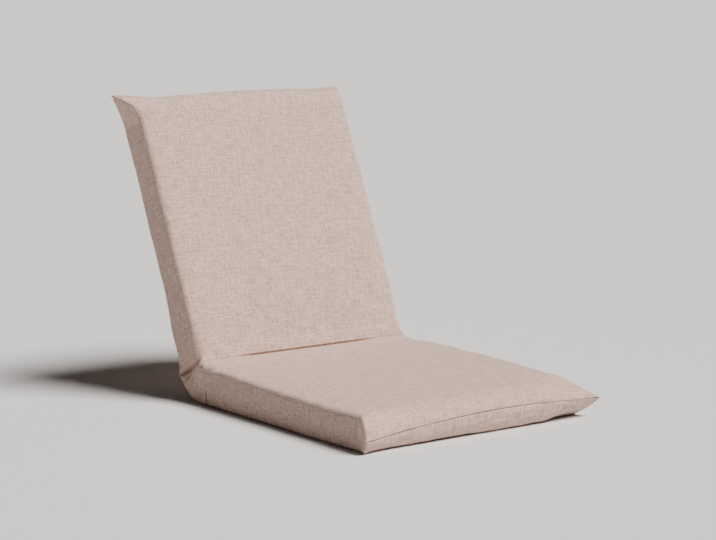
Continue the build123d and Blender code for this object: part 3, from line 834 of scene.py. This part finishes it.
def slubWeave():
    # plain weave: |sin| ridges of warp times weft, thread tone from noise stretched along each thread
    w = weave
    group, start, end = newGroup(
        "slubWeave",
        [("Vector", "NodeSocketVector", None), ("Threads", "NodeSocketFloat", w["threads"])],
        [("Tone", "NodeSocketFloat"), ("Height", "NodeSocketFloat"), ("Patch", "NodeSocketFloat")],
    )
    split = group.nodes.new("ShaderNodeSeparateXYZ")
    group.links.new(start.outputs["Vector"], split.inputs[0])

    def stretched(x, y):
        scaled = group.nodes.new("ShaderNodeVectorMath")
        scaled.operation = "MULTIPLY"
        group.links.new(start.outputs["Vector"], scaled.inputs[0])
        scaled.inputs[1].default_value = (x, y, 0.0)
        return scaled.outputs[0]

    def bothWays(scale, long):
        # one noise drawn out along the weft plus one drawn out along the warp
        warp = noiseNode(group, stretched(1.0, long), scale, 2.0, 0.6)
        weft = noiseNode(group, stretched(long, 1.0), scale, 2.0, 0.6)
        return mathNode(group, "ADD", warp, weft)

    def ridge(axis):
        turns = mathNode(group, "MULTIPLY", split.outputs[axis], threads)
        return mathNode(group, "ABSOLUTE", mathNode(group, "SINE", turns))

    fine = bothWays(w["threadScale"], w["threadLong"])
    slub = bothWays(w["slubScale"], w["slubLong"])
    patch = noiseNode(group, stretched(1.0, 1.0), w["patchScale"], 3.0, 0.6)
    fleck = noiseNode(group, stretched(1.0, w["fleckLong"]), w["fleckScale"], 3.0, 0.7)
    threads = mathNode(group, "MULTIPLY", start.outputs["Threads"], math.pi)
    crossed = mathNode(group, "MULTIPLY", ridge(0), ridge(1))
    tone = mathNode(
        group, "ADD",
        mathNode(group, "MULTIPLY", fine, w["threadTone"]),
        mathNode(group, "MULTIPLY", slub, w["slubTone"]),
    )
    tone = mathNode(group, "ADD", tone, mathNode(group, "MULTIPLY", fleck, w["fleckTone"]))
    height = mathNode(
        group, "ADD",
        mathNode(group, "MULTIPLY", crossed, w["weaveHeight"]),
        mathNode(group, "MULTIPLY", tone, w["toneHeight"]),
    )
    group.links.new(tone, end.inputs["Tone"])
    group.links.new(height, end.inputs["Height"])
    group.links.new(patch, end.inputs["Patch"])
    return group


linen = {
    "light": (0.770, 0.543, 0.446, 1.0),
    "dark": (0.365, 0.248, 0.197, 1.0),
    "warm": (0.640, 0.424, 0.339, 1.0),
    "toneLow": 0.425,  # the weave's tone that is all dark
    "toneHigh": 0.575,  # and all light
    "patches": 0.30,  # how far the patches turn it warm
    "roughness": 0.92,
    "specular": 0.25,
    "sheen": 0.25,
    "sheenRoughness": 0.6,
    "bumpStrength": 0.6,
    "bump": 0.00035,
}


def linenMaterial():
    # dark to light by the weave's tone, then towards warm by its patches
    material, tree, shader = newMaterial("slubLinen")
    place = tree.nodes.new("ShaderNodeUVMap")
    place.uv_map = "cloth"
    threads = tree.nodes.new("ShaderNodeGroup")
    threads.node_tree = slubWeave()
    tree.links.new(place.outputs["UV"], threads.inputs["Vector"])
    ramp = tree.nodes.new("ShaderNodeMapRange")
    ramp.inputs["From Min"].default_value = linen["toneLow"]
    ramp.inputs["From Max"].default_value = linen["toneHigh"]
    tree.links.new(threads.outputs["Tone"], ramp.inputs["Value"])
    base = mixColour(tree, ramp.outputs[0], linen["dark"], linen["light"])
    patches = mathNode(tree, "MULTIPLY", threads.outputs["Patch"], linen["patches"])
    tree.links.new(mixColour(tree, patches, base, linen["warm"]), shader.inputs["Base Color"])
    shader.inputs["Roughness"].default_value = linen["roughness"]
    shader.inputs["Specular IOR Level"].default_value = linen["specular"]
    shader.inputs["Sheen Weight"].default_value = linen["sheen"]
    shader.inputs["Sheen Roughness"].default_value = linen["sheenRoughness"]
    addBump(tree, shader, threads.outputs["Height"], linen["bumpStrength"], linen["bump"])
    return material


cover.data.materials.append(linenMaterial())
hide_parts("seat_cover", "back_cover", "hinge_cover")
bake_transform(cover)


# ---- finishes of the inner pieces
def clothMaterial(name, colours, roughness, scale, height, ribs=0.0, sheen=0.15):
    # two tones mixed by noise in Object coordinates, with the product of two sines as ribs
    material, tree, shader = newMaterial(name)
    place = tree.nodes.new("ShaderNodeTexCoord").outputs["Object"]
    tone = noiseNode(tree, place, scale, 4.0, 0.65)
    tree.links.new(mixColour(tree, tone, colours[0], colours[1]), shader.inputs["Base Color"])
    relief = tone
    if ribs:
        split = tree.nodes.new("ShaderNodeSeparateXYZ")
        tree.links.new(place, split.inputs[0])
        across, along = (
            mathNode(tree, "SINE", mathNode(tree, "MULTIPLY", split.outputs[axis], ribs)) for axis in (0, 1)
        )
        relief = mathNode(tree, "ADD", tone, mathNode(tree, "MULTIPLY", across, along))
    addBump(tree, shader, relief, 0.6, height)
    shader.inputs["Roughness"].default_value = roughness
    shader.inputs["Sheen Weight"].default_value = sheen
    return material


wear = {
    "scale": 60.0,
    "grainTimes": 7.0,  # the fine noise is this much finer
    "from": 0.26,  # the product of both noises where scuffs begin
    "sharpness": 6.0,
}


def wearMask():
    # light scuffs: coarse noise times fine noise, less a threshold, sharpened to a mask
    group, start, end = newGroup(
        "wearMask",
        [("Vector", "NodeSocketVector", None), ("Scale", "NodeSocketFloat", wear["scale"])],
        [("Mask", "NodeSocketFloat"), ("Grain", "NodeSocketFloat")],
    )
    vector = start.outputs["Vector"]
    fineScale = mathNode(group, "MULTIPLY", start.outputs["Scale"], wear["grainTimes"])
    coarse = noiseNode(group, vector, start.outputs["Scale"], 3.0)
    fine = noiseNode(group, vector, fineScale, 3.0)
    above = mathNode(group, "SUBTRACT", mathNode(group, "MULTIPLY", coarse, fine), wear["from"])
    group.links.new(mathNode(group, "MULTIPLY", above, wear["sharpness"], True), end.inputs["Mask"])
    group.links.new(fine, end.inputs["Grain"])
    return group


wearGroup = wearMask()


def hardMaterial(name, tones, roughness, metallic, scale, grain=0.00008):
    # tones and roughness are each (fresh, worn), mixed by the wear mask, with a fine grain pressed in
    material, tree, shader = newMaterial(name)
    worn = tree.nodes.new("ShaderNodeGroup")
    worn.node_tree = wearGroup
    worn.inputs["Scale"].default_value = scale
    tree.links.new(tree.nodes.new("ShaderNodeTexCoord").outputs["Object"], worn.inputs["Vector"])
    tree.links.new(mixColour(tree, worn.outputs["Mask"], *tones), shader.inputs["Base Color"])
    change = mathNode(tree, "MULTIPLY", worn.outputs["Mask"], roughness[1] - roughness[0])
    tree.links.new(mathNode(tree, "ADD", change, roughness[0]), shader.inputs["Roughness"])
    addBump(tree, shader, worn.outputs["Grain"], 0.4, grain)
    shader.inputs["Metallic"].default_value = metallic
    return material


wadding = clothMaterial(
    "whiteWadding", ((0.78, 0.78, 0.76, 1.0), (0.90, 0.90, 0.88, 1.0)),
    roughness=0.95, scale=380.0, height=0.0008, sheen=0.3,
)
webbing = clothMaterial(
    "blackWebbing", ((0.016, 0.016, 0.018, 1.0), (0.045, 0.045, 0.05, 1.0)),
    roughness=0.85, scale=900.0, height=0.0002, ribs=2600.0,
)
zipTape = clothMaterial(
    "wovenTape", ((0.36, 0.25, 0.20, 1.0), (0.52, 0.38, 0.31, 1.0)),
    roughness=0.9, scale=1400.0, height=0.00012, ribs=5200.0,
)
coilNylon = hardMaterial(
    "coilNylon", ((0.34, 0.24, 0.20, 1.0), (0.42, 0.31, 0.26, 1.0)),
    roughness=(0.42, 0.6), metallic=0.0, scale=220.0,
)
powderCoat = hardMaterial(
    "blackPowderCoat", ((0.020, 0.020, 0.022, 1.0), (0.05, 0.05, 0.052, 1.0)),
    roughness=(0.48, 0.66), metallic=0.0, scale=90.0, grain=0.00012,
)
zincPlate = hardMaterial(
    "zincPlatedSteel", ((0.62, 0.62, 0.64, 1.0), (0.40, 0.39, 0.38, 1.0)),
    roughness=(0.30, 0.55), metallic=1.0, scale=70.0,
)
brightSteel = hardMaterial(
    "brightSteel", ((0.74, 0.74, 0.75, 1.0), (0.50, 0.49, 0.48, 1.0)),
    roughness=(0.20, 0.45), metallic=1.0, scale=120.0,
)
lacquer = hardMaterial(
    "lacqueredMetal", ((0.30, 0.21, 0.175, 1.0), (0.60, 0.56, 0.50, 1.0)),
    roughness=(0.34, 0.5), metallic=0.6, scale=160.0,
)
# which finish each carried-over CAD node gets, by the ending of its name
endings = {
    "_tube_frame": powderCoat,
    "_cross_bar": powderCoat,
    "_webbing": webbing,
    "_cheek": zincPlate,
    "_ratchet_arm": zincPlate,
    "_pawl": zincPlate,
    "_pawl_spring": zincPlate,
    "_pivot": brightSteel,
    "_pawl_pin": brightSteel,
    "_rivets": brightSteel,
    "_tape": zipTape,
    "zip_stops": lacquer,
    "zip_slider": lacquer,
    "zip_pull_tab": lacquer,
}
for name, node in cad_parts.items():
    match = [finish for ending, finish in endings.items() if name.endswith(ending)]
    if match:
        node.data.materials.clear()
        node.data.materials.append(match[0])

# ---- the filling under the cover, in place of the wadding and foam
filling = {
    "inset": 0.0065,  # from the cloth
    "start": 0.025,  # from the hinge
    "seamGap": 0.010,
    "rows": 46,
    "tuft": 0.0004,
    "thinnest": 0.15,  # the least share of the cloth's height that is left
}


def fillingMesh(name, pad):
    # the pad's form drawn in towards the middle of its height and width, with a tufty surface
    f = filling
    s = np.linspace(f["start"], sleeve[pad + "Length"] - f["seamGap"], f["rows"])
    local = padRows(pad, s)
    middleUp = 0.5 * (local[..., 2] + local[:, mirrorColumn, 2])
    tall = np.maximum(np.abs(local[..., 2] - middleUp).max(axis=1, keepdims=True), 0.001)
    thinner = np.maximum(1.0 - f["inset"] / tall, f["thinnest"])
    local[..., 2] = middleUp + (local[..., 2] - middleUp) * thinner
    local[..., 0] *= 1.0 - f["inset"] / sleeve["halfWidth"]
    local = local + f["tuft"] * waves(41, 12, 0.012, 0.030, *np.moveaxis(local, -1, 0))[..., None]
    return tubeMesh(name, toFrame(pad, local[::-1] if pad == "seat" else local))


for pad in ("seat", "back"):
    stuffing = fillingMesh(pad + "Filling", pad)
    stuffing.data.materials.append(wadding)
    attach(stuffing, pad)
    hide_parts(pad + "_wadding", pad + "_face_foam", pad + "_frame_foam")
    print("filling", pad, len(stuffing.data.polygons))

# ---- the zip's coil, two nylon strands whose loops lock into each other
coil = {
    "half": 0.188,  # half its length
    "pitch": 0.0022,
    "top": 0.0068,  # where the loops touch the tape
    "tall": 0.0011,
    "reach": 0.0021,  # from the middle to a loop's outer end
    "overlap": 0.0007,
    "strand": 0.00034,  # radius of the nylon
    "sides": 5,
    "steps": 10,  # points on each loop
}


def coilStrand(side, offset):
    # a flattened helix along X: across = reach at its outer end to -overlap past the middle, height
    # a half wave, swept by a ring of sides
    c = coil
    turns = int(2.0 * c["half"] / c["pitch"])
    loop = np.arange(turns * c["steps"]) / c["steps"] + offset
    angle = 2.0 * math.pi * loop
    middleY, swingY = 0.5 * (c["reach"] - c["overlap"]), 0.5 * (c["reach"] + c["overlap"])
    path = np.stack([
        loop * c["pitch"] - c["half"],
        side * (middleY + swingY * np.cos(angle)),
        c["top"] - c["strand"] - 0.5 * c["tall"] * (1.0 - np.sin(angle)),
    ], -1)
    tangent = np.gradient(path, axis=0)
    tangent /= np.linalg.norm(tangent, axis=-1, keepdims=True)
    first = np.cross(tangent, (1.0, 0.0, 0.0))
    first /= np.linalg.norm(first, axis=-1, keepdims=True)
    second = np.cross(tangent, first)
    ring = (2.0 * math.pi * np.arange(c["sides"]) / c["sides"])[:, None]
    spot = path[:, None, :] + c["strand"] * (first[:, None] * np.cos(ring) + second[:, None] * np.sin(ring))
    spot[..., 1] += hinge["y"] - zipSlit["place"]
    rows, columns = spot.shape[:2]
    quads = tubeQuads(rows, columns)[:, [0, 3, 2, 1]]  # this ring runs the other way round
    caps = [list(range(columns))[::-1], list(range((rows - 1) * columns, rows * columns))]
    return spot.reshape(-1, 3), quads.tolist() + caps


(frontSpots, frontFaces), (rearSpots, rearFaces) = coilStrand(1.0, 0.0), coilStrand(-1.0, 0.5)
coilMesh = bpy.data.meshes.new("zipCoil")
coilMesh.from_pydata(
    np.concatenate([frontSpots, rearSpots]).tolist(),
    [],
    frontFaces + [[vertex + len(frontSpots) for vertex in face] for face in rearFaces],
)
coilMesh.polygons.foreach_set("use_smooth", np.ones(len(coilMesh.polygons), bool))
coilMesh.materials.append(coilNylon)
zipCoil = linked("zipCoil", coilMesh)
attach(zipCoil, "seat")
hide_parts("zip_coil")
print("zip coil", len(coilMesh.polygons))

# ---- floor, light and camera
print("floor, light, camera")
studio = {
    "floor": (0.73, 0.727, 0.724, 1.0),
    "floorHalf": 40.0,
    "floorRoughness": 0.9,
    "air": 0.04,  # even light from all round
    "airColour": (1.0, 0.99, 0.98, 1.0),
    "key": (0.42, -0.50, 0.90),  # where the soft main light stands, from the chair
    "keyPower": 6.3,
    "keyColour": (1.0, 0.965, 0.935),
    "keySpread": 28.0,  # degrees
    "keyAway": 3.0,
}
far = studio["floorHalf"]
floorMesh = bpy.data.meshes.new("floor")
floorMesh.from_pydata([(-far, -far, 0), (far, -far, 0), (far, far, 0), (-far, far, 0)], [], [(0, 1, 2, 3)])
floorMaterial, _, floorShader = newMaterial("paleFloor")
floorShader.inputs["Base Color"].default_value = studio["floor"]
floorShader.inputs["Roughness"].default_value = studio["floorRoughness"]
floorMesh.materials.append(floorMaterial)
linked("floor", floorMesh)

world = bpy.data.worlds.new("studio")
scene.world = world
world.use_nodes = True
background = world.node_tree.nodes["Background"]
background.inputs["Color"].default_value = studio["airColour"]
background.inputs["Strength"].default_value = studio["air"]
keyData = bpy.data.lights.new("keyLight", "SUN")
keyData.energy = studio["keyPower"]
keyData.color = studio["keyColour"]
keyData.angle = math.radians(studio["keySpread"])
key = linked("keyLight", keyData)
key.rotation_mode = "QUATERNION"
key.rotation_quaternion = Vector(studio["key"]).to_track_quat("Z", "Y")
key.location = Vector(studio["key"]) * studio["keyAway"]

view = {
    "azimuth": -34.54,  # degrees
    "elevation": 9.05,
    "roll": -0.785,
    "distance": 3.79,
    "pivot": (0.0, 0.114, 0.168),
    "frame": (716.0, 540.0),  # in pixels, as the next two
    "focal": 2284.0,
    "centre": (347.11, 301.09),  # where the pivot falls in the frame
    "sensor": 36.0,  # in millimetres
}
azimuth, elevation = math.radians(view["azimuth"]), math.radians(view["elevation"])
away = Vector((
    math.sin(azimuth) * math.cos(elevation),
    -math.cos(azimuth) * math.cos(elevation),
    math.sin(elevation),
))
wide, tall = view["frame"]
cameraData = bpy.data.cameras.new("camera")
cameraData.sensor_width = view["sensor"]
cameraData.lens = view["focal"] * view["sensor"] / wide
cameraData.shift_x = (0.5 * wide - view["centre"][0]) / wide
cameraData.shift_y = (view["centre"][1] - 0.5 * tall) / wide
camera = linked("camera", cameraData)
camera.location = Vector(view["pivot"]) + away * view["distance"]
camera.rotation_mode = "QUATERNION"
roll = Quaternion((0.0, 0.0, 1.0), math.radians(view["roll"]))
camera.rotation_quaternion = away.to_track_quat("Z", "Y") @ roll
scene.camera = camera
